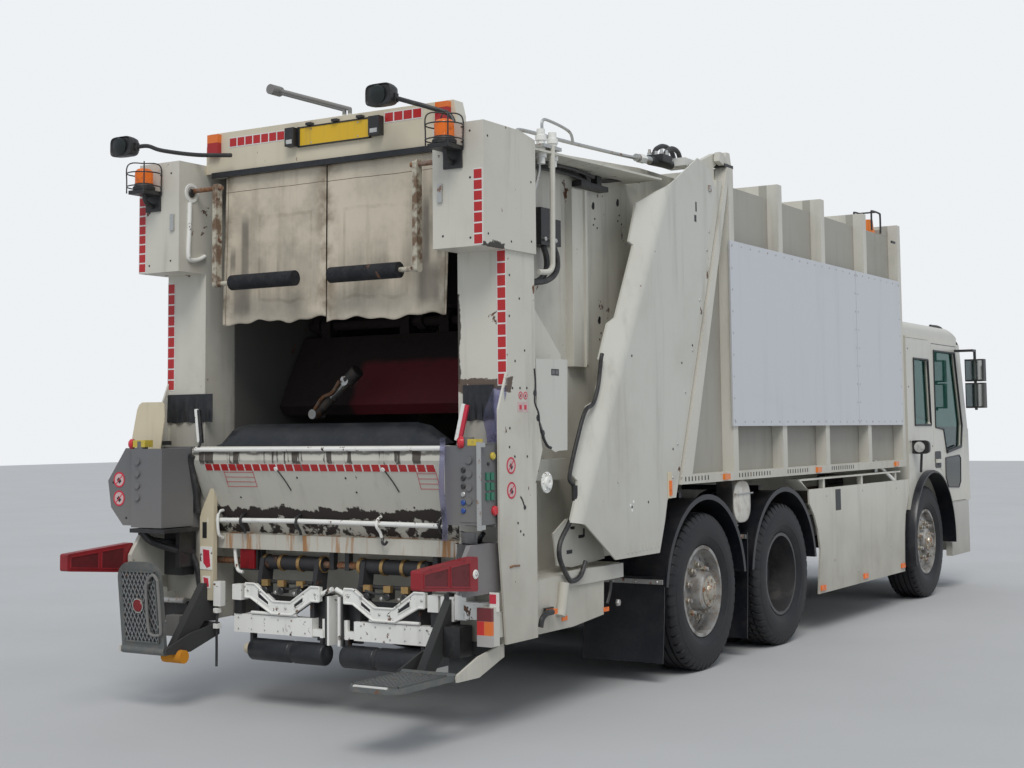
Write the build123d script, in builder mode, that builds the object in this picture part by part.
"""Rear-loading refuse truck, 6x2 with a low cab and a split bin lifter, in millimetres.

+X is forward, +Y is to the left and +Z is up, with the ground at zero.
"""

from math import cos, pi, radians, sin, tan
import os

from build123d import *

os.makedirs("parts", exist_ok=True)

# Driving dimensions
half_width = 1250
front_face = 4910
front_overhang = 1450
wheelbase = 3600
bogie = 1370
front_x = front_face - front_overhang
drive_x = front_x - wheelbase
tag_x = drive_x - bogie

# Wheels
tyre_radius = 516
tyre_width = 300
tyre_bore = 287
rim_gap = 0.5
rim_radius = tyre_bore - rim_gap
flange_radius = 299
rim_width = 240
rim_wall = 10
hub_fit = 0.5
single_y = 1085
twin_pitch = 340
twin_y = 915
disc_joint = 10
axle_z = tyre_radius

# Body
floor_z = 1230
roof_z = 3410
body_front = front_x - 670
cab_rear = body_front + 90
body_rear_top = tag_x + 440
rear_slope = 0.383
wall = 40
rib_depth = 90
rib_width = 84
roof_drop = 100
rail_band = 110
floor_thickness = 90

# Low cab and bumper
cab_half = 1245
cab_wall = 50
arch_radius = 662
arch_wall = 14
tunnel_top = axle_z + arch_radius + arch_wall
bumper_top = 842
bumper_inner = front_face - 58
bumper_rear = front_x + arch_radius + 30

# Chassis
rail_y = 420
rail_height = 270
rail_flange = 80
rail_wall = 10
rail_top = 1050
rail_rear = tag_x - 480
rail_front = front_face - 420

# Tailgate
seam = 30
box_rear = tag_x - 2710
box_front = tag_x - 2180
box_bottom = 2555
box_top = roof_z - 190
cheek_rear = tag_x - 2475
cheek_inner = 920
inner_plate = 20
side_wall = 20
hinge_x = tag_x + 370
hinge_z = roof_z + 50
pin_radius = 25

# Clearances: between seated pieces, and between a pin and its bore
seat_gap = 0.3
pin_gap = 0.5

sides = (("left", 1), ("right", -1))


def save(piece, label):
    """Labels a finished piece and writes its file."""
    piece.label = label
    export_step(piece, f"parts/{label}.step")


def rear_x(z):
    """Where the sloping rear plane of the body lies at a height."""
    return body_rear_top - rear_slope * (roof_z - z)


def behind(points):
    """Turns pairs of distance behind the tag axle and height into x and z."""
    return [(tag_x - distance, height) for distance, height in points]


def on_side(side, inner, outer):
    """The span from inner to outer on one side of the middle, lower y first."""
    return tuple(sorted((side * inner, side * outer)))


def block(x, y, z, mode=Mode.ADD):
    """Adds a block that spans x, y and z, each a low and high pair."""
    with Locations(((x[0] + x[1]) / 2, (y[0] + y[1]) / 2, (z[0] + z[1]) / 2)):
        Box(x[1] - x[0], y[1] - y[0], z[1] - z[0], mode=mode)


def side_plate(points, y, thickness, radius=0, mode=Mode.ADD):
    """Adds a side-view outline, from y by its thickness towards -Y."""
    with BuildSketch(Plane.XZ.offset(-y)) as outline:
        with BuildLine():
            FilletPolyline(*points, radius=radius, close=True)
        make_face()
    extrude(outline.sketch, amount=thickness, mode=mode)


def rod(x, z, radius, y, mode=Mode.ADD):
    """Adds a rod along Y at x and z, between a low and high y."""
    with Locations((x, (y[0] + y[1]) / 2, z)):
        Cylinder(radius, y[1] - y[0], rotation=(90, 0, 0), mode=mode)


def strut(start, end, radius):
    """Adds a round bar with rounded ends between two points."""
    way = Vector(*end) - Vector(*start)
    with BuildSketch(Plane(origin=start, z_dir=way)) as outline:
        Circle(radius)
    extrude(outline.sketch, amount=way.length)
    with Locations(start, end):
        Sphere(radius)


# Tyres and rims: the profile's x runs outboard, its y is the radius
def wheel_plane(x, y, facing):
    """A plane at a wheel's centre, whose x is the way its disc faces and whose y points up."""
    return Plane(origin=(x, y, axle_z), x_dir=(0, facing, 0), z_dir=(facing, 0, 0))


def tyre(x, y):
    """Adds a tyre with a round shoulder and a bulging side wall."""
    half = tyre_width / 2
    shoulder = 40
    bead = rim_width / 2 - 12
    bead_top = flange_radius + 5
    plane = wheel_plane(x, y, 1)
    with BuildSketch(plane) as section:
        with BuildLine():
            Polyline((-bead, bead_top), (-bead, tyre_bore), (bead, tyre_bore), (bead, bead_top))
            ThreePointArc((bead, bead_top), (half, tyre_radius - 125), (half - 12, tyre_radius - shoulder))
            ThreePointArc(
                (half - 12, tyre_radius - shoulder),
                (half - 24, tyre_radius - 14),
                (half - shoulder - 10, tyre_radius),
            )
            Line((half - shoulder - 10, tyre_radius), (-half + shoulder + 10, tyre_radius))
            ThreePointArc(
                (-half + shoulder + 10, tyre_radius),
                (-half + 24, tyre_radius - 14),
                (-half + 12, tyre_radius - shoulder),
            )
            ThreePointArc((-half + 12, tyre_radius - shoulder), (-half, tyre_radius - 125), (-bead, bead_top))
        make_face()
    revolve(section.sketch, axis=Axis(plane.origin, plane.x_dir))


def rim(x, y, facing, disc, hub_radius, hub_out, bore):
    """Adds a rim whose disc stands at an offset from its middle, with a hub."""
    half = rim_width / 2
    disc_wall = 16
    bolt_circle = 167.5
    root = max(disc - 30, 2 * disc_wall - half)
    plane = wheel_plane(x, y, facing)
    with BuildSketch(plane) as section:
        with BuildLine():
            Polyline(
                (disc - disc_wall, bore),
                (disc, bore),
                (disc, 190),
                (root, 250),
                (root, rim_radius - rim_wall),
                (half, rim_radius - rim_wall),
                (half, flange_radius),
                (half - 8, flange_radius),
                (half - 8, rim_radius),
                (8 - half, rim_radius),
                (8 - half, flange_radius),
                (-half, flange_radius),
                (-half, rim_radius - rim_wall),
                (root - disc_wall, rim_radius - rim_wall),
                (root - disc_wall, 250),
                (disc - disc_wall, 180),
                close=True,
            )
        make_face()
        with BuildLine():
            Polyline(
                (disc - disc_wall, bore),
                (disc + hub_out, bore),
                (disc + hub_out, hub_radius - 12),
                (disc + hub_out - 12, hub_radius),
                (disc, hub_radius + 6),
                (disc - disc_wall, hub_radius + 6),
                close=True,
            )
        make_face()
    revolve(section.sketch, axis=Axis(plane.origin, plane.x_dir))
    face = Plane(origin=plane.origin + plane.x_dir * disc, x_dir=(0, 0, 1), z_dir=plane.x_dir)
    with Locations(face):
        with PolarLocations(bolt_circle, 10):
            Cylinder(14, 44, align=(Align.CENTER, Align.CENTER, Align.MIN))
        with PolarLocations(221, 8, start_angle=18):
            Cylinder(19, 200, mode=Mode.SUBTRACT)


knuckle_y = 870
stub_radius = 55
stub_bore = stub_radius + hub_fit
wheel_sets = [
    # name, x, disc offset, hub radius, hub reach
    ("front", front_x, 96, 118, 40),
    ("tag", tag_x, 70, 125, 92),
]
for axle, x, disc, hub_radius, hub_out in wheel_sets:
    for name, side in sides:
        with BuildPart() as tyre_part:
            tyre(x, side * single_y)
        save(tyre_part.part, f"{axle}_tyre_{name}")
        with BuildPart() as rim_part:
            rim(x, side * single_y, side, disc, hub_radius, hub_out, stub_bore)
        save(rim_part.part, f"{axle}_rim_{name}")

for name, side in sides:
    with BuildPart() as twin_tyres:
        for offset_y in (-twin_pitch / 2, twin_pitch / 2):
            tyre(drive_x, side * twin_y + offset_y)
    save(twin_tyres.part, f"drive_tyres_{name}")
    with BuildPart() as twin_rims:
        twin_disc = disc_joint - twin_pitch / 2
        rim(drive_x, side * (twin_y + twin_pitch / 2), side, twin_disc, 130, 96, stub_bore)
        rim(drive_x, side * (twin_y - twin_pitch / 2), -side, twin_disc, 130, 0, stub_bore)
    save(twin_rims.part, f"drive_rims_{name}")

# Steering knuckles with a stub axle, on a kingpin that the beam's eye carries
kingpin_radius = 26
eye_half = 60
eye_radius = 58
kingpin_y = 830
knuckle_reach = 190
for axle, x, disc, hub_radius, hub_out in wheel_sets:
    for name, side in sides:
        stub_end = single_y + disc + hub_out - 14
        with BuildPart() as knuckle:
            block(
                (x - 60, x + 60),
                on_side(side, kingpin_y + 68, kingpin_y + 105),
                (axle_z - 120, axle_z + 120),
            )
            for low, high in ((-120, -eye_half - 5), (eye_half + 5, 120)):
                block(
                    (x - 55, x + 55),
                    on_side(side, kingpin_y - 50, kingpin_y + 70),
                    (axle_z + low, axle_z + high),
                )
            with Locations((x, side * kingpin_y, axle_z)):
                Cylinder(kingpin_radius, 240)
            rod(x, axle_z, stub_radius, on_side(side, kingpin_y + 70, stub_end))
            block(
                (x - knuckle_reach, x - 50),
                on_side(side, kingpin_y - 40, kingpin_y - 12),
                (axle_z - 110, axle_z - 85),
            )
        save(knuckle.part, f"{axle}_knuckle_{name}")

# Axle beams: forged front and tag beams, drive housing with a round middle
with BuildPart() as axle_beams:
    for x in (front_x, tag_x):
        drop = 90
        with BuildSketch(Plane.YZ.offset(x - 50)) as beam_view:
            with BuildLine():
                Polyline(
                    (-kingpin_y, axle_z + eye_half),
                    (-kingpin_y + 75, axle_z + eye_half),
                    (-rail_y - 120, axle_z - drop + 110),
                    (rail_y + 120, axle_z - drop + 110),
                    (kingpin_y - 75, axle_z + eye_half),
                    (kingpin_y, axle_z + eye_half),
                    (kingpin_y, axle_z - eye_half),
                    (kingpin_y - 75, axle_z - eye_half),
                    (rail_y + 120, axle_z - drop),
                    (-rail_y - 120, axle_z - drop),
                    (-kingpin_y + 75, axle_z - eye_half),
                    (-kingpin_y, axle_z - eye_half),
                    close=True,
                )
            make_face()
        extrude(beam_view.sketch, amount=100)
        for side in (1, -1):
            with Locations((x, side * kingpin_y, axle_z)):
                Cylinder(eye_radius, 2 * eye_half)
                Cylinder(kingpin_radius + hub_fit, 300, mode=Mode.SUBTRACT)
    rod(drive_x, axle_z, 75, (-740, 740))
    rod(drive_x, axle_z, stub_radius, (-twin_y - 60, twin_y + 60))
    with Locations((drive_x, 0, axle_z)):
        Cylinder(210, 220, rotation=(0, 90, 0))
save(axle_beams.part, "axle_beams")

# Chassis rails with cross members
with BuildPart() as chassis_frame:
    for side in (1, -1):
        with BuildSketch(Plane.YZ.offset(rail_rear)) as channel:
            with BuildLine():
                Polyline(
                    (side * rail_y, rail_top),
                    (side * (rail_y - rail_flange), rail_top),
                    (side * (rail_y - rail_flange), rail_top - rail_wall),
                    (side * (rail_y - rail_wall), rail_top - rail_wall),
                    (side * (rail_y - rail_wall), rail_top - rail_height + rail_wall),
                    (side * (rail_y - rail_flange), rail_top - rail_height + rail_wall),
                    (side * (rail_y - rail_flange), rail_top - rail_height),
                    (side * rail_y, rail_top - rail_height),
                    close=True,
                )
            make_face()
        extrude(channel.sketch, amount=rail_front - rail_rear)
    member_z = (rail_top - rail_height + 60, rail_top - 60)
    for x in (rail_rear + 60, tag_x + 300, drive_x - 480, drive_x + 560, drive_x + 1500, rail_front - 60):
        block((x - 30, x + 30), (-rail_y + rail_wall, rail_y - rail_wall), member_z)
    for side in (1, -1):
        rail_span = on_side(side, rail_y - rail_flange, rail_y)
        for x in (cab_rear + 110, rail_front - 70):
            block((x - 50, x + 50), rail_span, (rail_top, tunnel_top - 40 - seat_gap))
        block((rail_front - 40, bumper_inner - seat_gap), rail_span, (rail_top - rail_height, bumper_top - 4))
save(chassis_frame.part, "chassis_frame")

# Engine as one plain block between the rails, under the cab
with BuildPart() as engine_block:
    engine_half = rail_y - rail_flange - 10
    block((front_x - 200, front_x + 900), (-engine_half, engine_half), (rail_top - 240, rail_top + 60))
    mount_half = rail_y - rail_wall - seat_gap
    for x in (front_x - 100, front_x + 800):
        block((x - 40, x + 40), (-mount_half, mount_half), (rail_top - 190, rail_top - 130))
save(engine_block.part, "engine_block")

# Air bellows on the bogie axles and leaf springs on the front axle
spring_y = rail_y + 70
with BuildPart() as suspension:
    for x in (tag_x, drive_x):
        for side in (1, -1):
            arm_top = axle_z + 100
            side_plate(
                [
                    (x - 330, arm_top + 20),
                    (x + 120, arm_top + 20),
                    (x + 420, arm_top + 130),
                    (x + 420, arm_top + 70),
                    (x + 120, arm_top - 20),
                    (x - 330, arm_top - 20),
                ],
                side * spring_y + 35,
                70,
            )
            with Locations((x - 250, side * (rail_y + 85), (arm_top + 20 + rail_top) / 2)):
                Cylinder(80, rail_top - arm_top - 20)
            seat_low = axle_z + 75 if x == drive_x else axle_z + 20
            block(
                (x - 50, x + 50),
                on_side(side, spring_y - 35, spring_y + 35),
                (seat_low + seat_gap, arm_top),
            )
            block((x + 380, x + 450), on_side(side, rail_y, spring_y + 35), (arm_top + 60, rail_top - 20))
            block((x - 380, x - 120), on_side(side, rail_y, spring_y), (rail_top - 30, rail_top))
    for side in (1, -1):
        leaf_z = axle_z + 44
        with BuildSketch(Plane.XZ.offset(-(side * spring_y + 35))) as leaves:
            with BuildLine():
                ThreePointArc(
                    (front_x - 700, leaf_z + 150), (front_x, leaf_z - 18), (front_x + 700, leaf_z + 150)
                )
                Line((front_x + 700, leaf_z + 150), (front_x + 700, leaf_z + 175))
                ThreePointArc(
                    (front_x + 700, leaf_z + 175), (front_x, leaf_z + 30), (front_x - 700, leaf_z + 175)
                )
                Line((front_x - 700, leaf_z + 175), (front_x - 700, leaf_z + 150))
            make_face()
        extrude(leaves.sketch, amount=70)
        block(
            (front_x - 50, front_x + 50),
            on_side(side, spring_y - 35, spring_y + 35),
            (axle_z + 20 + seat_gap, leaf_z),
        )
        for end in (-1, 1):
            block(
                (front_x + end * 700 - 40, front_x + end * 700 + 40),
                on_side(side, rail_y, spring_y + 35),
                (leaf_z + 150, rail_top - 20),
            )
save(suspension.part, "suspension")

# Rear mudguards: arcs over the bogie wheels with a flat top and a rolled lip
guard_radius = 602
guard_wall = 8
lip = 34
guard_in = 640
with BuildPart() as mudguards:
    for x in (tag_x, drive_x):
        for side in (1, -1):
            y_high = max(side * guard_in, side * (half_width - 4))
            for radius, depth, y_edge in (
                (guard_radius + guard_wall, half_width - 4 - guard_in, y_high),
                (guard_radius + lip, 10, y_high if side > 0 else side * (half_width - 14)),
            ):
                with BuildSketch(Plane.XZ.offset(-y_edge)) as guard:
                    with Locations((x, axle_z)):
                        Circle(radius)
                        Circle(guard_radius, mode=Mode.SUBTRACT)
                        with Locations((0, -radius + 80)):
                            Rectangle(3 * radius, 2 * radius, mode=Mode.SUBTRACT)
                extrude(guard.sketch, amount=depth)
            block(
                (x - 20, x + 20),
                on_side(side, rail_y, half_width - 200),
                (axle_z + guard_radius + guard_wall - 2, axle_z + guard_radius + guard_wall + 36),
            )
save(mudguards.part, "mudguards")

# Side skirts between the drive wheel and the front wheel
skirt_top = 1112
skirt_bottom = 303
skirt_rear = drive_x + 680
skirt_front = front_x - 770
skirt_wall = 14
skirt_outline = [
    (drive_x + 517, skirt_top),
    (drive_x + 524, 1002),
    (drive_x + 622, 906),
    (drive_x + 692, 790),
    (drive_x + 736, 640),
    (skirt_rear, skirt_bottom),
    (skirt_front, skirt_bottom),
    (front_x - 745, 640),
    (front_x - 709, 806),
    (front_x - 595, 979),
    (front_x - 590, skirt_top),
]
with BuildPart() as skirts:
    for side in (1, -1):
        outer = side * (half_width - 10)
        side_plate(skirt_outline, max(outer, outer - side * skirt_wall), skirt_wall)
        block(
            (drive_x + 330, front_x - 817),
            on_side(side, half_width - 130, half_width - 12),
            (skirt_top + 70, skirt_top + 84),
        )
        side_plate(
            [
                (drive_x + 517, skirt_top - 8),
                (drive_x + 330, skirt_top + 84),
                (drive_x + 330, skirt_top + 70),
            ],
            max(side * (half_width - 130), side * (half_width - 12)),
            118,
        )
        for x in (drive_x + 880, (drive_x + front_x) / 2 - 20, front_x - 920):
            block(
                (x - 20, x + 20),
                on_side(side, rail_y, half_width - 24),
                (rail_top - 150, rail_top - 110),
            )
            block(
                (x - 20, x + 20),
                on_side(side, half_width - 60, half_width - 24),
                (rail_top - 120, skirt_top + 72),
            )
save(skirts.part, "skirts")

# Body floor with its front wall and two long sills on the chassis
roof_sheet_top = roof_z - roof_drop
with BuildPart() as body_floor:
    side_plate(
        [
            (rear_x(floor_z), floor_z),
            (rear_x(floor_z + floor_thickness), floor_z + floor_thickness),
            (body_front, floor_z + floor_thickness),
            (body_front, floor_z),
        ],
        half_width - rib_depth - wall,
        2 * (half_width - rib_depth - wall),
    )
    for side in (1, -1):
        block(
            (rear_x(floor_z) + 60, body_front - 40),
            on_side(side, rail_y - rail_flange, rail_y),
            (rail_top, floor_z),
        )
    block(
        (body_front - wall - rib_width, body_front - rib_width),
        (-(half_width - rib_depth - wall), half_width - rib_depth - wall),
        (floor_z + floor_thickness - 1, roof_sheet_top - wall - seat_gap),
    )
save(body_floor.part, "body_floor")

# Body walls: recessed sheet between deep ribs, a sill, a top band and a sloping rear post
rib_pitch = (body_front - body_rear_top) / 3860
rib_fronts = [body_rear_top + share * rib_pitch for share in (94, 1003, 1907, 2924, 3860)]
wall_top = roof_z - rail_band
sheet_out = half_width - rib_depth
with BuildPart() as body_walls:
    for side in (1, -1):
        sheet_y = on_side(side, sheet_out - wall, sheet_out)
        side_plate(
            [
                (rear_x(floor_z), floor_z),
                (rear_x(roof_sheet_top - seat_gap), roof_sheet_top - seat_gap),
                (body_front, roof_sheet_top - seat_gap),
                (body_front, floor_z),
            ],
            sheet_y[1],
            wall,
        )
        rib_y = max(side * sheet_out, side * half_width)
        for x in rib_fronts[1:]:
            side_plate(
                [(x - rib_width, floor_z), (x - rib_width, roof_z), (x, roof_z), (x, floor_z)],
                rib_y,
                rib_depth,
            )
        side_plate(
            [
                (rear_x(floor_z), floor_z),
                (rear_x(roof_z), roof_z),
                (rib_fronts[0], roof_z),
                (rib_fronts[0], wall_top),
                (rib_fronts[0] - rib_width, wall_top),
                (rear_x(floor_z) + 150, floor_z),
            ],
            rib_y,
            rib_depth,
        )
        side_plate(
            [
                (rib_fronts[0] - rib_width, floor_z),
                (rib_fronts[0] - rib_width, roof_z),
                (rib_fronts[0], roof_z),
                (rib_fronts[0], floor_z),
            ],
            rib_y,
            rib_depth,
        )
        lug_y = (side * (half_width - 10), side * (half_width - 50))
        side_plate(
            [
                (hinge_x + 190, roof_z - 60),
                (rear_x(roof_z - 60), roof_z - 60),
                (rear_x(roof_z), roof_z),
                (hinge_x - 45, hinge_z - 20),
                (hinge_x - 30, hinge_z + 44),
                (hinge_x + 30, hinge_z + 44),
            ],
            max(lug_y),
            40,
        )
        rod(hinge_x, hinge_z, pin_radius, on_side(side, 1145, half_width - 12))
        side_plate(
            [
                (rear_x(floor_z), floor_z),
                (rear_x(floor_z + 60), floor_z + 60),
                (body_front, floor_z + 60),
                (body_front, floor_z),
            ],
            rib_y,
            rib_depth,
        )
save(body_walls.part, "body_walls")

# Roof sheet with hoops that carry the ribs across
with BuildPart() as body_roof:
    roof_half = half_width - rib_depth - wall
    side_plate(
        [
            (rear_x(roof_sheet_top - wall), roof_sheet_top - wall),
            (rear_x(roof_sheet_top), roof_sheet_top),
            (body_front, roof_sheet_top),
            (body_front, roof_sheet_top - wall),
        ],
        roof_half,
        2 * roof_half,
    )
    for x in rib_fronts:
        block((x - rib_width, x), (seat_gap - sheet_out, sheet_out - seat_gap), (roof_sheet_top, roof_z))
save(body_roof.part, "body_roof")

# Silver side panels, each of two sheets that stand on the ribs
panel_rear = body_rear_top - 14
panel_split = rib_fronts[3] - 339
panel_front = body_front - 90
panel_bottom = 1603
panel_top = 2894
panel_wall = 12
with BuildPart() as side_panels:
    for side in (1, -1):
        for x0, x1 in ((panel_rear, panel_split - 3), (panel_split + 3, panel_front)):
            panel_y = half_width + seat_gap
            block(
                (x0, x1),
                on_side(side, panel_y, panel_y + panel_wall),
                (panel_bottom, panel_top),
            )
save(side_panels.part, "side_panels")

# Low cab: one welded shell with a floor, side quarters, rear wall and pillars
cab_floor = 560
cab_roof = 2560
sill_z = 460
screen_base = 1560
screen_top = 2360
screen_base_x = front_face - 70
screen_top_x = front_face - 290
door_rear = front_x + 200
door_front = front_face - 200
door_gap = 6
door_pin = 9
door_pin_z = (940, 1460)
door_pin_length = 80
tunnel_half = rail_y + 200
quarter_window = [(front_x - 370, 1600), (front_x - 370, 2215), (front_x + 80, 2215), (front_x + 130, 1600)]
door_outline = [
    (door_rear, 1270),
    (door_rear, 2380),
    (screen_top_x - 120, 2380),
    (door_front, screen_base),
    (door_front, bumper_top + 8),
    (front_x + arch_radius - 50, bumper_top + 8),
    (front_x + 470, 1150),
]
door_window = [
    (door_rear + 70, 1580),
    (door_rear + 70, 2310),
    (screen_top_x - 180, 2310),
    (door_front - 70, screen_base + 40),
    (door_front - 120, 1380),
    (door_rear + 420, 1330),
    (door_rear + 330, 1560),
]
with BuildPart() as cab_shell:
    shell_outline = [
        (cab_rear, 900),
        (cab_rear, cab_roof - 160),
        (screen_top_x, cab_roof - 160),
        (screen_base_x, screen_base),
        (front_face - 60, 900),
        (front_face - 60, sill_z),
        (cab_rear, sill_z),
    ]
    side_plate(shell_outline, cab_half, 2 * cab_half)
    side_plate(
        [
            (cab_rear + cab_wall, cab_floor + 30),
            (cab_rear + cab_wall, cab_roof),
            (front_face + 200, cab_roof),
            (front_face + 200, cab_floor + 30),
        ],
        cab_half - cab_wall,
        2 * (cab_half - cab_wall),
        mode=Mode.SUBTRACT,
    )
    for side in (1, -1):
        low = min(side * (cab_half - 2 * cab_wall), side * (cab_half + 10))
        high = max(side * (cab_half - 2 * cab_wall), side * (cab_half + 10))
        side_plate(door_outline, high, high - low, mode=Mode.SUBTRACT)
        side_plate(quarter_window, high, high - low, radius=40, mode=Mode.SUBTRACT)
        for z in door_pin_z:
            with Locations((door_front, side * cab_half, z)):
                Cylinder(door_pin + pin_gap, door_pin_length + 2, mode=Mode.SUBTRACT)
    rod(front_x, axle_z, arch_radius, (-cab_half - 20, -rail_y - 190), mode=Mode.SUBTRACT)
    rod(front_x, axle_z, arch_radius, (rail_y + 190, cab_half + 20), mode=Mode.SUBTRACT)
    block(
        (cab_rear - 10, front_face),
        (-tunnel_half, tunnel_half),
        (sill_z - 10, tunnel_top - 40),
        mode=Mode.SUBTRACT,
    )
    block((cab_rear - 10, cab_rear + cab_wall + 10), (-600, 600), (1750, 2200), mode=Mode.SUBTRACT)
    # Wheel arches and the engine tunnel close the floor
    for side in (1, -1):
        block(
            (bumper_rear - 2, front_face),
            on_side(side, half_width - 62, half_width + 10),
            (sill_z - 10, bumper_top + 2),
            mode=Mode.SUBTRACT,
        )
        block(
            (front_face - 155, front_face),
            on_side(side, half_width - 155, half_width + 10),
            (sill_z - 10, bumper_top + 2),
            mode=Mode.SUBTRACT,
        )
        arch_low = min(side * (rail_y + 190), side * (cab_half - cab_wall))
        arch_high = max(side * (rail_y + 190), side * (cab_half - cab_wall))
        with BuildSketch(Plane.XZ.offset(-arch_high)) as arch:
            with Locations((front_x, axle_z)):
                Circle(arch_radius + arch_wall)
                Circle(arch_radius, mode=Mode.SUBTRACT)
                with Locations((0, -arch_radius + 60)):
                    Rectangle(4 * arch_radius, 2 * arch_radius, mode=Mode.SUBTRACT)
        extrude(arch.sketch, amount=arch_high - arch_low)
    block((cab_rear, front_face - 70), (-tunnel_half - 4, tunnel_half + 4), (tunnel_top - 40, tunnel_top))
save(cab_shell.part, "cab_shell")

# Cab roof: a shallow crowned cap that overhangs the shell's top
with BuildPart() as cab_roof_panel:
    side_plate(
        [
            (cab_rear, cab_roof - 160 + seat_gap),
            (cab_rear, cab_roof - 20),
            (cab_rear + 60, cab_roof),
            (screen_top_x - 250, cab_roof),
            (screen_top_x + 20, cab_roof - 90),
            (screen_top_x + 20, cab_roof - 160 + seat_gap),
        ],
        cab_half - 30,
        2 * (cab_half - 30),
    )
    side_plate(
        [
            (cab_rear + cab_wall, cab_roof - 170),
            (cab_rear + cab_wall, cab_roof - 60),
            (screen_top_x - 270, cab_roof - 60),
            (screen_top_x - 40, cab_roof - 130),
            (screen_top_x - 40, cab_roof - 170),
        ],
        cab_half - 80,
        2 * (cab_half - 80),
        mode=Mode.SUBTRACT,
    )
    long_edges = cab_roof_panel.edges().filter_by(Axis.X).group_by(Axis.Z)[-1]
    fillet(long_edges, 70)
save(cab_roof_panel.part, "cab_roof")

# Cab front panel under the windscreen, with a grille opening and headlamp pockets
front_wall = 40
fascia_bottom = 850
with BuildPart() as cab_front:
    side_plate(
        [
            (screen_base_x + seat_gap, screen_base),
            (front_face - 60 + seat_gap, 900),
            (front_face - 60 + seat_gap, fascia_bottom),
            (front_face - 14, fascia_bottom),
            (front_face - 14, 940),
            (screen_base_x + 46, screen_base),
        ],
        cab_half - 4,
        2 * (cab_half - 4),
    )
    for z in (1010, 1080, 1150):
        block((front_face - 100, front_face), (-620, 620), (z - 18, z + 18), mode=Mode.SUBTRACT)
    fillet(cab_front.edges().filter_by(Axis.Z).sort_by(Axis.X)[-2:], 10)
save(cab_front.part, "cab_front")

# Bumper that wraps the corners back to the wheel arches
bumper_bottom = 330
with BuildPart() as bumper:
    with BuildSketch(Plane.XY.offset(bumper_bottom)) as bumper_plan:
        with BuildLine():
            FilletPolyline(
                (bumper_rear, -half_width),
                (front_face, -half_width + 0.001),
                (front_face, half_width - 0.001),
                (bumper_rear, half_width),
                (bumper_rear, half_width - 60),
                (bumper_inner, half_width - 60.001),
                (bumper_inner, -half_width + 60.001),
                (bumper_rear, -half_width + 60),
                radius=[1, 150, 150, 1, 1, 90, 90, 1],
                close=True,
            )
        make_face()
    extrude(bumper_plan.sketch, amount=bumper_top - bumper_bottom)
    for side in (1, -1):
        block(
            (front_face - 40, front_face + 10),
            on_side(side, 720, 1040),
            (600, 740),
            mode=Mode.SUBTRACT,
        )
save(bumper.part, "bumper")

# Doors hinged at their front edge, with a window cut and a pane
pane = 6
for name, side in sides:
    outer_y = side * cab_half
    door_y = max(outer_y, outer_y - side * cab_wall)
    with BuildPart() as door:
        with BuildSketch(Plane.XZ.offset(-door_y)) as door_view:
            with BuildLine():
                Polyline(*door_outline, close=True)
            make_face()
            offset(amount=-door_gap, kind=Kind.INTERSECTION, mode=Mode.REPLACE)
            with BuildLine():
                FilletPolyline(*door_window, radius=30, close=True)
            make_face(mode=Mode.SUBTRACT)
        extrude(door_view.sketch, amount=cab_wall)
        for z in door_pin_z:
            with Locations((door_front, outer_y, z)):
                Cylinder(door_pin, door_pin_length)
        handle_y = max(outer_y, outer_y + side * 22)
        side_plate(
            [
                (door_rear + 40, 1240),
                (door_rear + 40, 1275),
                (door_rear + 200, 1275),
                (door_rear + 200, 1240),
            ],
            handle_y,
            22,
        )
    save(door.part, f"door_{name}")
    with BuildPart() as door_glass:
        pane_y = side * (cab_half - cab_wall / 2) + pane / 2
        with BuildSketch(Plane.XZ.offset(-pane_y)) as pane_view:
            with BuildLine():
                FilletPolyline(*door_window, radius=30, close=True)
            make_face()
            offset(amount=-0.5, mode=Mode.REPLACE)
        extrude(pane_view.sketch, amount=pane)
    save(door_glass.part, f"door_glass_{name}")

# Fixed glass: windscreen, rear quarters and the rear wall's pane
with BuildPart() as cab_glass:
    side_plate(
        [
            (screen_base_x, screen_base + 6),
            (screen_top_x - 4, cab_roof - 170),
            (screen_top_x + 6, cab_roof - 170),
            (screen_base_x + 10, screen_base + 6),
        ],
        cab_half - cab_wall - seat_gap,
        2 * (cab_half - cab_wall - seat_gap),
    )
    for side in (1, -1):
        quarter_y = side * (cab_half - cab_wall / 2) + pane / 2
        with BuildSketch(Plane.XZ.offset(-quarter_y)) as quarter:
            with BuildLine():
                FilletPolyline(*quarter_window, radius=40, close=True)
            make_face()
            offset(amount=-0.5, mode=Mode.REPLACE)
        extrude(quarter.sketch, amount=pane)
    block((cab_rear + 20, cab_rear + 26), (-599.5, 599.5), (1750.5, 2199.5))
save(cab_glass.part, "cab_glass")

# Dashboard with a tilted steering wheel on its column
wheel_centre = (front_face - 540, 640, screen_base)
wheel_tilt = 30
with BuildPart() as dashboard:
    side_plate(
        [
            (front_face - 66, tunnel_top + seat_gap),
            (front_face - 80, screen_base - 60),
            (front_face - 180, screen_base - 20),
            (front_face - 420, screen_base - 80),
            (front_face - 440, screen_base - 230),
            (front_face - 330, tunnel_top + seat_gap),
        ],
        cab_half - cab_wall - 12,
        2 * (cab_half - cab_wall - 12),
    )
    rim_plane = Plane(
        origin=wheel_centre,
        x_dir=(0, 1, 0),
        z_dir=(-cos(radians(90 - wheel_tilt)), 0, sin(radians(90 - wheel_tilt))),
    )
    with Locations(rim_plane):
        Torus(225, 16)
        Cylinder(45, 30)
        Cylinder(24, 330, align=(Align.CENTER, Align.CENTER, Align.MAX))
        for turn in (0, 120, 240):
            with Locations(Location((0, 0, 0), (0, 0, turn))):
                with Locations((112, 0, 0)):
                    Box(224, 30, 12)
save(dashboard.part, "dashboard")

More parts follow.
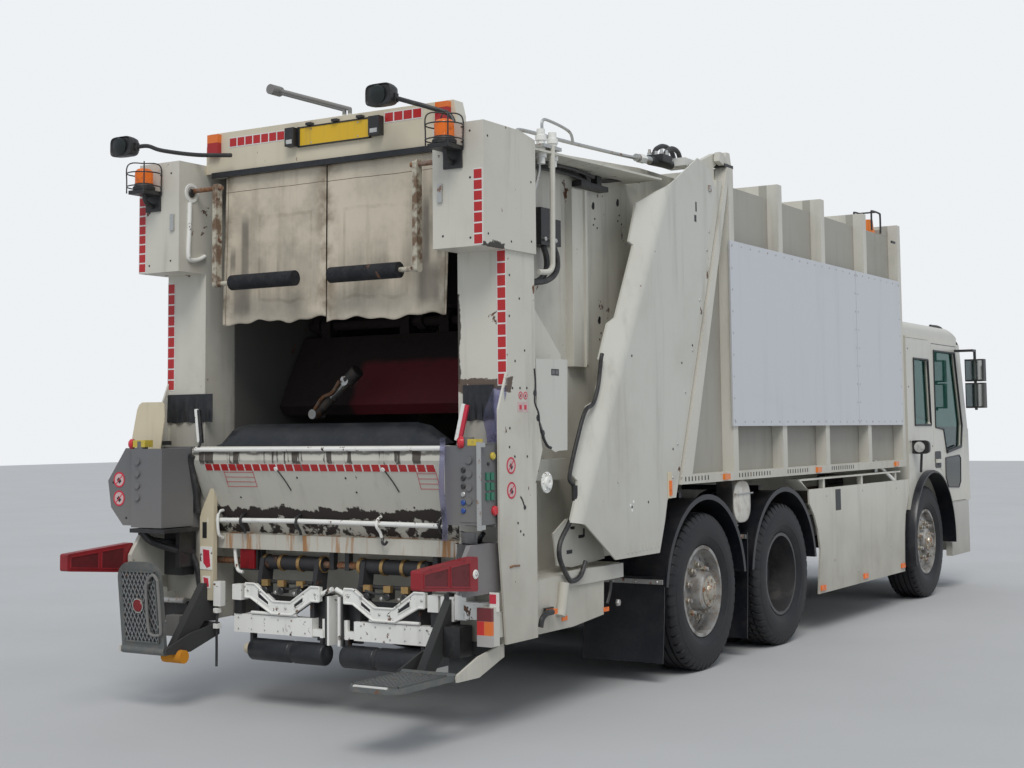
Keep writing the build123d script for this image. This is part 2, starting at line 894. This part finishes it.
# Seats: driver's seat and a double bench, each with a cushion and a back
seat_z = tunnel_top + seat_gap
with BuildPart() as seats:
    for y0, y1 in ((410, 900), (-930, 80)):
        side_plate(
            [
                (front_x - 80, seat_z),
                (front_x - 80, seat_z + 250),
                (front_x + 20, seat_z + 290),
                (front_x + 470, seat_z + 300),
                (front_x + 520, seat_z + 250),
                (front_x + 500, seat_z),
            ],
            y1,
            y1 - y0,
            radius=20,
        )
        side_plate(
            [
                (front_x - 80, seat_z + 240),
                (front_x - 210, seat_z + 960),
                (front_x - 90, seat_z + 980),
                (front_x + 60, seat_z + 270),
            ],
            y1 - 10,
            y1 - y0 - 20,
            radius=20,
        )
save(seats.part, "seats")

# Mirrors: a head pair on a cranked arm at the top of each door
mirror_y = cab_half + 175
mirror_x = screen_top_x - 70
mirror_root = (screen_top_x - 178, screen_top_x - 142)
for name, side in sides:
    with BuildPart() as mirror:
        block(mirror_root, on_side(side, cab_half + seat_gap, mirror_y + 12), (2322, 2346))
        block((mirror_root[0], mirror_x + 12), on_side(side, mirror_y - 12, mirror_y + 12), (2322, 2346))
        with Locations((mirror_x, side * mirror_y, 2045)):
            Cylinder(14, 600)
        for z, height in ((2140, 220), (1890, 250)):
            with Locations((mirror_x + 10, side * mirror_y, z)):
                Box(100, 190, height)
        fillet(mirror.edges().filter_by(Axis.Z).filter_by_position(Axis.Z, 1700, 2260), 12)
    save(mirror.part, f"mirror_{name}")

# Lamps on the vehicle: headlamps, front beacons with their guards, marker lamps along the sill
with BuildPart() as vehicle_lamps:
    for side in (1, -1):
        block(
            (front_face - 40, front_face - 4),
            on_side(side, 722, 1038),
            (602, 738),
        )
        beacon_x = body_front - 360
        with Locations((beacon_x, side * 1070, roof_sheet_top + seat_gap)):
            Cylinder(65, 40, align=(Align.CENTER, Align.CENTER, Align.MIN))
            Cone(60, 48, 130, align=(Align.CENTER, Align.CENTER, Align.MIN))
        for x in (tag_x + 302, drive_x + 691, front_x - 982):
            lamp_y = half_width + seat_gap
            block((x - 45, x + 45), on_side(side, lamp_y, lamp_y + 18), (1240, 1280))
save(vehicle_lamps.part, "vehicle_lamps")

# Tailgate sides: inner wall, rear post, lower panel, top shelf and a sloping front frame with the hinge ear
post_wall = 12
post_front = tag_x - 2180
side_bottom = 470
lower_y = 1170
frame_depth = 100
ear_y = (1150, 1190)
ridge_z = roof_z - 80
frame_top = roof_z - 110
cover_wall = 10


def front_x_at(z, setback=seam):
    """Where the tailgate's front plane, set back from the body's rear plane, lies at a height."""
    return rear_x(z) - setback


with BuildPart() as tailgate_sides:
    for side in (1, -1):
        inner_y = side * cheek_inner
        side_plate(
            behind([(2475, 2560), (2475, roof_z - 210), (300, ridge_z)])
            + [(front_x_at(ridge_z), ridge_z), (front_x_at(1200), 1200)]
            + behind([(700, 800), (1310, 800), (1320, 500), (2475, side_bottom)]),
            max(inner_y, inner_y + side * inner_plate),
            inner_plate,
        )
        side_plate(
            behind([(2710, box_bottom), (2710, box_top), (2400, box_top), (2400, box_bottom)]),
            max(inner_y, inner_y + side * inner_plate),
            inner_plate,
        )
        # Rear post: a rear face and an outer face
        block(
            (cheek_rear, cheek_rear + side_wall),
            tuple(sorted((inner_y, side * (half_width - 20)))),
            (side_bottom, box_bottom),
        )
        side_plate(
            behind(
                [
                    (2475, box_bottom),
                    (2475, 1900),
                    (2560, 1700),
                    (2560, 1000),
                    (2500, side_bottom),
                    (2190, side_bottom),
                    (2190, 1300),
                    (2110, 1480),
                    (2180, 1760),
                    (2180, box_bottom),
                ]
            ),
            max(side * (half_width - 20), side * (half_width - 20 - post_wall)),
            post_wall,
        )
        block(
            (tag_x - 2190, tag_x - 2176),
            tuple(sorted((inner_y, side * (half_width - 22)))),
            (side_bottom, 1300),
        )
        # Lower panel between the post and the front frame
        side_plate(
            behind([(2180, 470), (2180, 700), (1310, 780), (1320, 500), (1690, 470)]),
            max(side * lower_y, side * (lower_y - post_wall)),
            post_wall,
        )
        for z0, z1 in ((1300, 1420), (1820, 1900)):
            block(
                (tag_x - 2186, tag_x - 1500),
                tuple(sorted((inner_y, side * (cheek_inner + 120)))),
                (z0, z1),
            )
        side_plate(
            behind([(2180, 690), (2180, 760), (1110, 790), (1110, 720)]),
            max(inner_y, side * lower_y),
            lower_y - cheek_inner,
        )
        # Shelf over the recess
        side_plate(
            behind([(2180, box_top - 70), (2180, box_top - 58), (520, box_top - 15), (520, box_top - 27)]),
            max(inner_y, side * (half_width - 40)),
            half_width - 40 - cheek_inner,
        )
        # Front frame along the body's sloping rear plane, and the hinge ear
        frame_out = half_width - cover_wall - seat_gap
        frame_y = max(inner_y, side * frame_out)
        side_plate(
            [
                (front_x_at(frame_top), frame_top),
                (front_x_at(1150), 1150),
                (front_x_at(1150, seam + frame_depth), 1150),
                (front_x_at(frame_top, seam + frame_depth), frame_top),
            ],
            frame_y,
            frame_out - cheek_inner,
        )
        ear_outer = max(side * ear_y[0], side * ear_y[1])
        side_plate(
            [
                (hinge_x + 34, hinge_z + 22),
                (hinge_x - 6, hinge_z + 42),
                (hinge_x - 300, hinge_z - 65),
                (hinge_x - 300, hinge_z - 260),
                (front_x_at(hinge_z - 200), hinge_z - 200),
                (hinge_x - 30, hinge_z - 60),
                (hinge_x + 30, hinge_z - 28),
            ],
            ear_outer,
            ear_y[1] - ear_y[0],
        )
        rod(hinge_x, hinge_z, pin_radius + pin_gap, on_side(side, 1140, 1200), mode=Mode.SUBTRACT)
save(tailgate_sides.part, "tailgate_sides")

# Hopper: a worn sill, a sloping rear panel and a rolled trough, between the inner walls
trough_x = tag_x - 1620
trough_z = 1420
trough_radius = 880
trough_wall = 20
hopper_half = cheek_inner - seat_gap
sill_x = tag_x - 2556
sill_top = 1510


def on_trough(angle, radius):
    """A point on the trough's circle, at an angle from straight down towards the rear."""
    return (trough_x - radius * sin(radians(angle)), trough_z - radius * cos(radians(angle)))


trough_in = trough_radius - trough_wall
with BuildPart() as hopper:
    with BuildSketch(Plane.XZ.offset(-hopper_half)) as hopper_view:
        with BuildLine():
            Polyline(
                on_trough(70, trough_radius),
                (sill_x - 30, sill_top - 80),
                (sill_x - 30, sill_top - 30),
                (sill_x, sill_top),
                (sill_x + 60, sill_top),
                (sill_x + 60, sill_top - 30),
                on_trough(70, trough_in - 20),
            )
            ThreePointArc(on_trough(70, trough_in - 20), on_trough(2, trough_in), on_trough(-68, trough_in))
            Polyline(
                on_trough(-68, trough_in),
                (front_x_at(1280, seam + frame_depth + 6), 1280),
                (front_x_at(1250, seam + frame_depth + 6), 1250),
                on_trough(-68, trough_radius),
            )
            ThreePointArc(
                on_trough(-68, trough_radius), on_trough(2, trough_radius), on_trough(70, trough_radius)
            )
        make_face()
    extrude(hopper_view.sketch, amount=2 * hopper_half)
    block((tag_x - 2440, tag_x - 2330), (-hopper_half, hopper_half), (905, 993))
save(hopper.part, "hopper")

# Tailgate top: the rear beam under the boxes' tops and the sloping roof behind it
beam_top = roof_z
beam_bottom = beam_top - 245
beam_depth = 95
beam_half = cheek_inner - seat_gap
camera = (cheek_rear - 55, 330, beam_top + 195)
camera_foot_y = -140
with BuildPart() as tailgate_top:
    block((cheek_rear, cheek_rear + beam_depth), (-beam_half, beam_half), (beam_bottom, beam_top - 80))
    with BuildSketch(Plane.YZ.offset(cheek_rear)) as beam_crown:
        with BuildLine():
            Polyline(
                (-beam_half, beam_top - 82),
                (-beam_half + 20, beam_top),
                (beam_half - 20, beam_top),
                (beam_half, beam_top - 82),
                close=True,
            )
        make_face()
    extrude(beam_crown.sketch, amount=beam_depth)
    side_plate(
        behind([(2382, beam_top - 230), (2382, beam_top - 210), (300, beam_top - 100)])
        + [(front_x_at(beam_top - 100) - 6, beam_top - 100), (front_x_at(beam_top - 120) - 6, beam_top - 120)]
        + behind([(300, beam_top - 120)]),
        beam_half,
        2 * beam_half,
    )
    block((cheek_rear + 10, cheek_rear + 50), (-870, 870), (beam_bottom - 26, beam_bottom + 2))
    # The number plate's blank carrier, and a camera on a cranked arm
    block((cheek_rear - 10, cheek_rear + 10), (-345, 190), (beam_top - 155, beam_top - 35))
    for shift in (-20, 20):
        foot = (cheek_rear + 30, camera_foot_y + shift, beam_top - 20)
        knee = (cheek_rear + 30, camera_foot_y + shift, beam_top + 40)
        strut(foot, knee, 12)
        strut(knee, (camera[0] + 20, camera[1] + shift, camera[2]), 12)
    rod(camera[0] + 20, camera[2], 16, (camera[1] - 40, camera[1] + 40))
    with Locations(camera):
        Cylinder(30, 90, rotation=(0, 90, 0))
save(tailgate_top.part, "tailgate_top")

# Upper boxes that overhang the hopper, open towards the front
box_wall = 12
with BuildPart() as upper_boxes:
    for side in (1, -1):
        y = on_side(side, cheek_inner + inner_plate, half_width - 5)
        side_plate(
            [
                (box_rear, box_bottom),
                (box_rear, box_top),
                (box_front - 170, box_top),
                (box_front, box_top - 30),
                (box_front, box_bottom),
            ],
            y[1],
            y[1] - y[0],
        )
        block(
            (box_rear + box_wall, box_front + 10),
            on_side(side, cheek_inner + inner_plate - 5, half_width - 5 - box_wall),
            (box_bottom + box_wall, box_top - 45),
            mode=Mode.SUBTRACT,
        )
save(upper_boxes.part, "upper_boxes")

# Side covers: a sheet bent inwards along a sloping crease, with a notched rear flange
bend_radius = 80
bend_angle = 45
flange_reach = 230
crease_low = (tag_x - 1724, 1065)
crease_high = (tag_x - 516, roof_z - 291)
crease_length = ((crease_high[0] - crease_low[0]) ** 2 + (crease_high[1] - crease_low[1]) ** 2) ** 0.5
crease_dir = (
    (crease_high[0] - crease_low[0]) / crease_length,
    (crease_high[1] - crease_low[1]) / crease_length,
)
# Flange edge: distance along the crease from its low end, and width at right angles to it
flange_table = [
    (-26, 58),
    (166, 68),
    (233, 79),
    (264, 139),
    (710, 142),
    (766, 97),
    (846, 113),
    (1029, 113),
    (1034, 146),
    (1289, 153),
    (1351, 116),
    (1894, 126),
    (1907, 160),
    (2202, 180),
    (2347, 71),
]
cover_front = behind([(48, roof_z - 7), (-150, roof_z - 58), (-238, roof_z - 198)])
cover_front = cover_front + behind([(427, 1350), (604, 1135), (645, 1005)])
cover_front = cover_front + behind([(723, 820), (1308, 820), (1671, 1047)])


def flange_point(along, width):
    """A point of the flange's edge in side view, from its place along and across the crease."""
    across = width * cos(radians(bend_angle))
    return (
        crease_low[0] + along * crease_dir[0] - across * crease_dir[1],
        crease_low[1] + along * crease_dir[1] + across * crease_dir[0],
    )


cover_outline = [flange_point(*row) for row in flange_table] + cover_front
forward = (crease_dir[1], 0, -crease_dir[0])
turn = radians(bend_angle)
bend_y = bend_radius * tan(turn / 2)
with BuildPart() as side_covers:
    for side in (1, -1):
        start = (crease_low[0] - 500 * crease_dir[0], side * half_width, crease_low[1] - 500 * crease_dir[1])
        section_plane = Plane(
            origin=start, x_dir=forward, z_dir=(-side * crease_dir[0], 0, -side * crease_dir[1])
        )
        with BuildSketch(section_plane) as bent_sheet:
            with BuildLine():
                tips = []
                for radius in (bend_radius, bend_radius - cover_wall):
                    low = (bend_y, bend_radius - radius)
                    mid = (bend_y - radius * sin(turn / 2), bend_radius - radius * cos(turn / 2))
                    high = (bend_y - radius * sin(turn), bend_radius - radius * cos(turn))
                    tip = (high[0] - flange_reach * cos(turn), high[1] + flange_reach * sin(turn))
                    ThreePointArc(low, mid, high)
                    Line(high, tip)
                    Line((1900, low[1]), low)
                    tips.append(tip)
                Line(*tips)
                Line((1900, 0), (1900, cover_wall))
            make_face()
        extrude(bent_sheet.sketch, amount=-side * (crease_length + 1200))
    side_plate(cover_outline, half_width + 10, 2 * half_width + 20, mode=Mode.INTERSECT)
save(side_covers.part, "side_covers")

# Control boxes at the rear corners, with their buttons, and the plate beside the left one
control_table = [
    # side, rear face behind the tag axle, inner y, outer y, bottom, top
    (1, 2826, 930, 1175, 1040, 1500),
    (-1, 2720, 995, 1205, 1100, 1510),
]
with BuildPart() as control_boxes:
    for side, reach, inner, outer, low, high in control_table:
        block((tag_x - reach, cheek_rear - 86), on_side(side, inner, outer), (low, high))
        block(
            (cheek_rear - 88, cheek_rear - seat_gap),
            on_side(side, inner + 20, outer),
            (low - 15, high + 10),
        )
        with Locations((tag_x - reach + 34, side * 1120, high)):
            Cylinder(32, 45, align=(Align.CENTER, Align.CENTER, Align.MIN))
        for row in range(4):
            with Locations((tag_x - reach, side * (outer - 55), high - 285 + 70 * row)):
                Cylinder(18, 24, rotation=(0, 90, 0))
save(control_boxes.part, "control_boxes")

# Tail lamps in their housings, and corner lamps on the beam
with BuildPart() as tail_lamps:
    for side in (1, -1):
        block((tag_x - 2640, tag_x - 2561), on_side(side, half_width - 115, half_width - 25), (472, 672))
        block(
            (tag_x - 2562, cheek_rear - seat_gap),
            on_side(side, half_width - 100, half_width - 40),
            (510, 640),
        )
        block(
            (cheek_rear - 34, cheek_rear - seat_gap),
            on_side(side, beam_half - 120, beam_half - 35),
            (beam_top - 140, beam_top - 10),
        )
save(tail_lamps.part, "tail_lamps")

# Two curtains that hang from the beam over the hopper's mouth
curtain_top = beam_bottom - 26.3
curtain_wall = 6
with BuildPart() as curtains:
    for y0, y1, low in ((4, 775, 2240), (-865, -4, 2225)):
        block((cheek_rear + 20, cheek_rear + 20 + curtain_wall), (y0, y1), (low, curtain_top))
save(curtains.part, "curtains")

# Pivot tubes across the tailgate for the lifter, and pivots on the upper boxes for the lid openers
pivot_x = tag_x - 2370
pivot_z = 828
tube_radius = 20
lifter_shift = -60
lever_x = tag_x - 2585
lever_z = beam_bottom - 115
lever_y = (715, 745)
bar_z = 2475
opener_pin = 14
with BuildPart() as pivot_tubes:
    for side in (1, -1):
        rod(pivot_x, pivot_z, tube_radius, on_side(side, 20, cheek_inner - seat_gap))
        rod(lever_x, lever_z, opener_pin, on_side(side, lever_y[0] - 25, cheek_inner - seat_gap))
save(pivot_tubes.part, "pivot_tubes")

# Lifter halves: drop arms, a V-shaped yoke, a cross beam and a rest roller, set off the middle
yoke_outline = [
    # distance from the middle of the pair, height
    (90, 710),
    (150, 710),
    (300, 615),
    (430, 615),
    (570, 710),
    (640, 710),
    (640, 630),
    (600, 630),
    (440, 545),
    (290, 545),
    (150, 630),
    (90, 630),
]


def lifter_span(side, inner, outer):
    """The span from inner to outer on one lifter half, lower y first."""
    low, high = on_side(side, inner, outer)
    return (low + lifter_shift, high + lifter_shift)


for name, side in sides:
    with BuildPart() as lifter:
        for y in (150, 560):
            side_plate(
                [
                    (pivot_x + 45, pivot_z + 30),
                    (pivot_x + 35, pivot_z - 60),
                    (pivot_x - 20, 420),
                    (pivot_x - 90, 420),
                    (pivot_x - 90, 640),
                    (pivot_x - 45, pivot_z + 30),
                ],
                lifter_span(side, y, y + 30)[1],
                30,
                radius=15,
            )
        rod(pivot_x, pivot_z, tube_radius + 22, lifter_span(side, 140, 600))
        with BuildSketch(Plane.YZ.offset(pivot_x - 120)) as yoke:
            with BuildLine():
                Polyline(*[(side * y + lifter_shift, z) for y, z in yoke_outline], close=True)
            make_face()
        extrude(yoke.sketch, amount=50)
        block((pivot_x - 110, pivot_x - 50), lifter_span(side, 150, 735), (425, 530))
        block((pivot_x - 90, pivot_x - 70), lifter_span(side, 60, 90), (425, 530))
        rod(pivot_x, pivot_z, tube_radius + pin_gap, lifter_span(side, 130, 610), mode=Mode.SUBTRACT)
        for y in (80, 600):
            block((pivot_x - 100, pivot_x - 60), lifter_span(side, y, y + 20), (300, 470))
        block((pivot_x - 100, pivot_x - 60), lifter_span(side, 80, 160), (430, 470))
        rod(pivot_x - 80, 330, 60, lifter_span(side, 99, 601))
    save(lifter.part, f"lifter_{name}")

# Brackets at the rear corners: slanted guards with an end roller, and the pins of arms and footboards
arm_x = tag_x - 2820
arm_z = 862
arm_y = (1185, 1245)
arm_pin = 14
board_x = tag_x - 2880
board_z = 345
board_y = (832, 1166)
board_pin = 14
with BuildPart() as rear_brackets:
    for side in (1, -1):
        side_plate(
            [
                (cheek_rear + 60, 470),
                (cheek_rear + 60, 700),
                (cheek_rear - 60, 700),
                (tag_x - 2800, 345),
                (tag_x - 2760, 275),
                (cheek_rear - 60, 480),
            ],
            max(side * 860, side * 910),
            50,
        )
        rod(tag_x - 2785, 308, 38, on_side(side, 780, 930))
        side_plate(
            [
                (cheek_rear - 80, 740),
                (cheek_rear - 80, 1000),
                (arm_x + 60, 1000),
                (arm_x - 24, arm_z + 20),
                (arm_x - 24, arm_z - 20),
                (arm_x + 20, 740),
            ],
            max(side * 1150, side * 1178),
            28,
        )
        rod(arm_x, arm_z, arm_pin, on_side(side, 1170, arm_y[1] + 3))
        block((cheek_rear - 104, cheek_rear - seat_gap), on_side(side, 1000, 1178), (745, 995))
        rod(board_x, board_z, board_pin, on_side(side, board_y[0] - 20, board_y[1] + 20))
        for y in (board_y[0] - 20, board_y[1] + 6):
            side_plate(
                [
                    (cheek_rear + 20, side_bottom - 70),
                    (cheek_rear + 20, side_bottom - seat_gap),
                    (tag_x - 2700, side_bottom - 40),
                    (board_x - 18, board_z + 18),
                    (board_x - 18, board_z - 18),
                    (tag_x - 2700, board_z - 20),
                ],
                max(side * y, side * (y + 14)),
                14,
            )
        block(
            (cheek_rear - 14, cheek_rear + 20),
            on_side(side, board_y[0] - 20, board_y[1] + 20),
            (side_bottom - 70, side_bottom - seat_gap),
        )
save(rear_brackets.part, "rear_brackets")

# Container arms: tapered, pointing rearwards, on a pin they fold up about
for name, side in sides:
    with BuildPart() as container_arm:
        side_plate(
            [
                (arm_x + 26, arm_z + 88),
                (arm_x + 26, arm_z - 88),
                (arm_x - 480, arm_z - 42),
                (arm_x - 480, arm_z + 54),
            ],
            max(side * arm_y[0], side * arm_y[1]),
            arm_y[1] - arm_y[0],
            radius=14,
        )
        rod(arm_x, arm_z, arm_pin + pin_gap, on_side(side, 1100, 1300), mode=Mode.SUBTRACT)
    save(container_arm.part, f"container_arm_{name}")

# Footboards: plates on a hinge tube, the right one flat and the left one folded up
board_depth = 510
board_thickness = 24
fold_angle = 84
for name, side in sides:
    low_y, high_y = sorted((side * board_y[0], side * board_y[1]))
    with BuildPart() as footboard:
        with BuildSketch(Plane.XY.offset(board_z - board_thickness / 2)) as board_plan:
            with BuildLine():
                FilletPolyline(
                    (board_x, low_y),
                    (board_x, high_y),
                    (board_x - board_depth, high_y),
                    (board_x - board_depth, low_y),
                    radius=[4, 4, 100, 100],
                    close=True,
                )
            make_face()
        extrude(board_plan.sketch, amount=board_thickness)
        rod(board_x, board_z, board_pin + 10, (low_y, high_y))
        rod(board_x, board_z, board_pin + pin_gap, (low_y - 10, high_y + 10), mode=Mode.SUBTRACT)
    board = footboard.part
    if side > 0:
        board = board.rotate(Axis((board_x, 0, board_z), (0, 1, 0)), fold_angle)
    save(board, f"footboard_{name}")

# Lid openers: a lever on a pivot at each upper box, with a roller bar across the curtain
for name, side in sides:
    with BuildPart() as lid_opener:
        low_y, high_y = on_side(side, *lever_y)
        side_plate(
            [
                (lever_x - 26, bar_z - 20),
                (lever_x - 26, lever_z + 26),
                (lever_x + 26, lever_z + 26),
                (lever_x + 26, bar_z - 20),
            ],
            high_y,
            high_y - low_y,
            radius=20,
        )
        rod(lever_x, bar_z, 14, on_side(side, 600, lever_y[0] + 5))
        rod(lever_x, bar_z, 45, on_side(side, 130, 610))
        rod(lever_x, lever_z, opener_pin + pin_gap, (low_y - 10, high_y + 10), mode=Mode.SUBTRACT)
    save(lid_opener.part, f"lid_opener_{name}")

# Packer: a carriage that slides down between the inner walls and a curved blade hinged to its foot
packer_gap = 12
packer_half = cheek_inner - packer_gap
carriage_top = (tag_x - 900, 3060)
carriage_low = (tag_x - 1500, 2280)
blade_length = 640
with BuildPart() as packer_carriage:
    run = (carriage_low[0] - carriage_top[0], carriage_low[1] - carriage_top[1])
    reach = (run[0] ** 2 + run[1] ** 2) ** 0.5
    along = (run[0] / reach, run[1] / reach)
    across = (-along[1], along[0])

    def carriage_point(down, out):
        """A point in side view, from its way down the carriage and its way out from it."""
        return (
            carriage_top[0] + down * along[0] + out * across[0],
            carriage_top[1] + down * along[1] + out * across[1],
        )

    side_plate(
        [
            carriage_point(0, -60),
            carriage_point(0, 60),
            carriage_point(reach - 75, 60),
            carriage_point(reach - 75, -60),
        ],
        packer_half,
        2 * packer_half,
    )
    for y in (-packer_half + 60, -30, packer_half - 120):
        side_plate(
            [
                carriage_point(reach - 160, -50),
                carriage_point(reach - 160, 50),
                carriage_point(reach + 40, 50),
                carriage_point(reach + 40, -50),
            ],
            y + 60,
            60,
            radius=30,
        )
    rod(carriage_low[0], carriage_low[1], 32, (-packer_half + 20, packer_half - 20))
    shoe_half = cheek_inner - pin_gap
    for down in (120, reach - 260):
        shoe = carriage_point(down, 0)
        rod(shoe[0], shoe[1], 45, (-shoe_half, shoe_half))
save(packer_carriage.part, "packer_carriage")

with BuildPart() as packer_blade:
    blade_angle = 24
    low = (
        carriage_low[0] - blade_length * sin(radians(blade_angle)),
        carriage_low[1] - blade_length * cos(radians(blade_angle)),
    )
    side_plate(
        [
            (carriage_low[0] - 66, carriage_low[1] - 80),
            (carriage_low[0] + 40, carriage_low[1] - 80),
            (low[0] + 60, low[1] + 20),
            (low[0], low[1]),
            (low[0] - 50, low[1] + 60),
        ],
        packer_half - 10,
        2 * packer_half - 20,
    )
    for y in (-packer_half + 150, -240, 60, packer_half - 220):
        rod(carriage_low[0], carriage_low[1], 62, (y, y + 70))
        block(
            (carriage_low[0] - 60, carriage_low[0] + 48),
            (y, y + 70),
            (carriage_low[1] - 100, carriage_low[1]),
        )
    rod(carriage_low[0], carriage_low[1], 32 + pin_gap, (-packer_half, packer_half), mode=Mode.SUBTRACT)
save(packer_blade.part, "packer_blade")
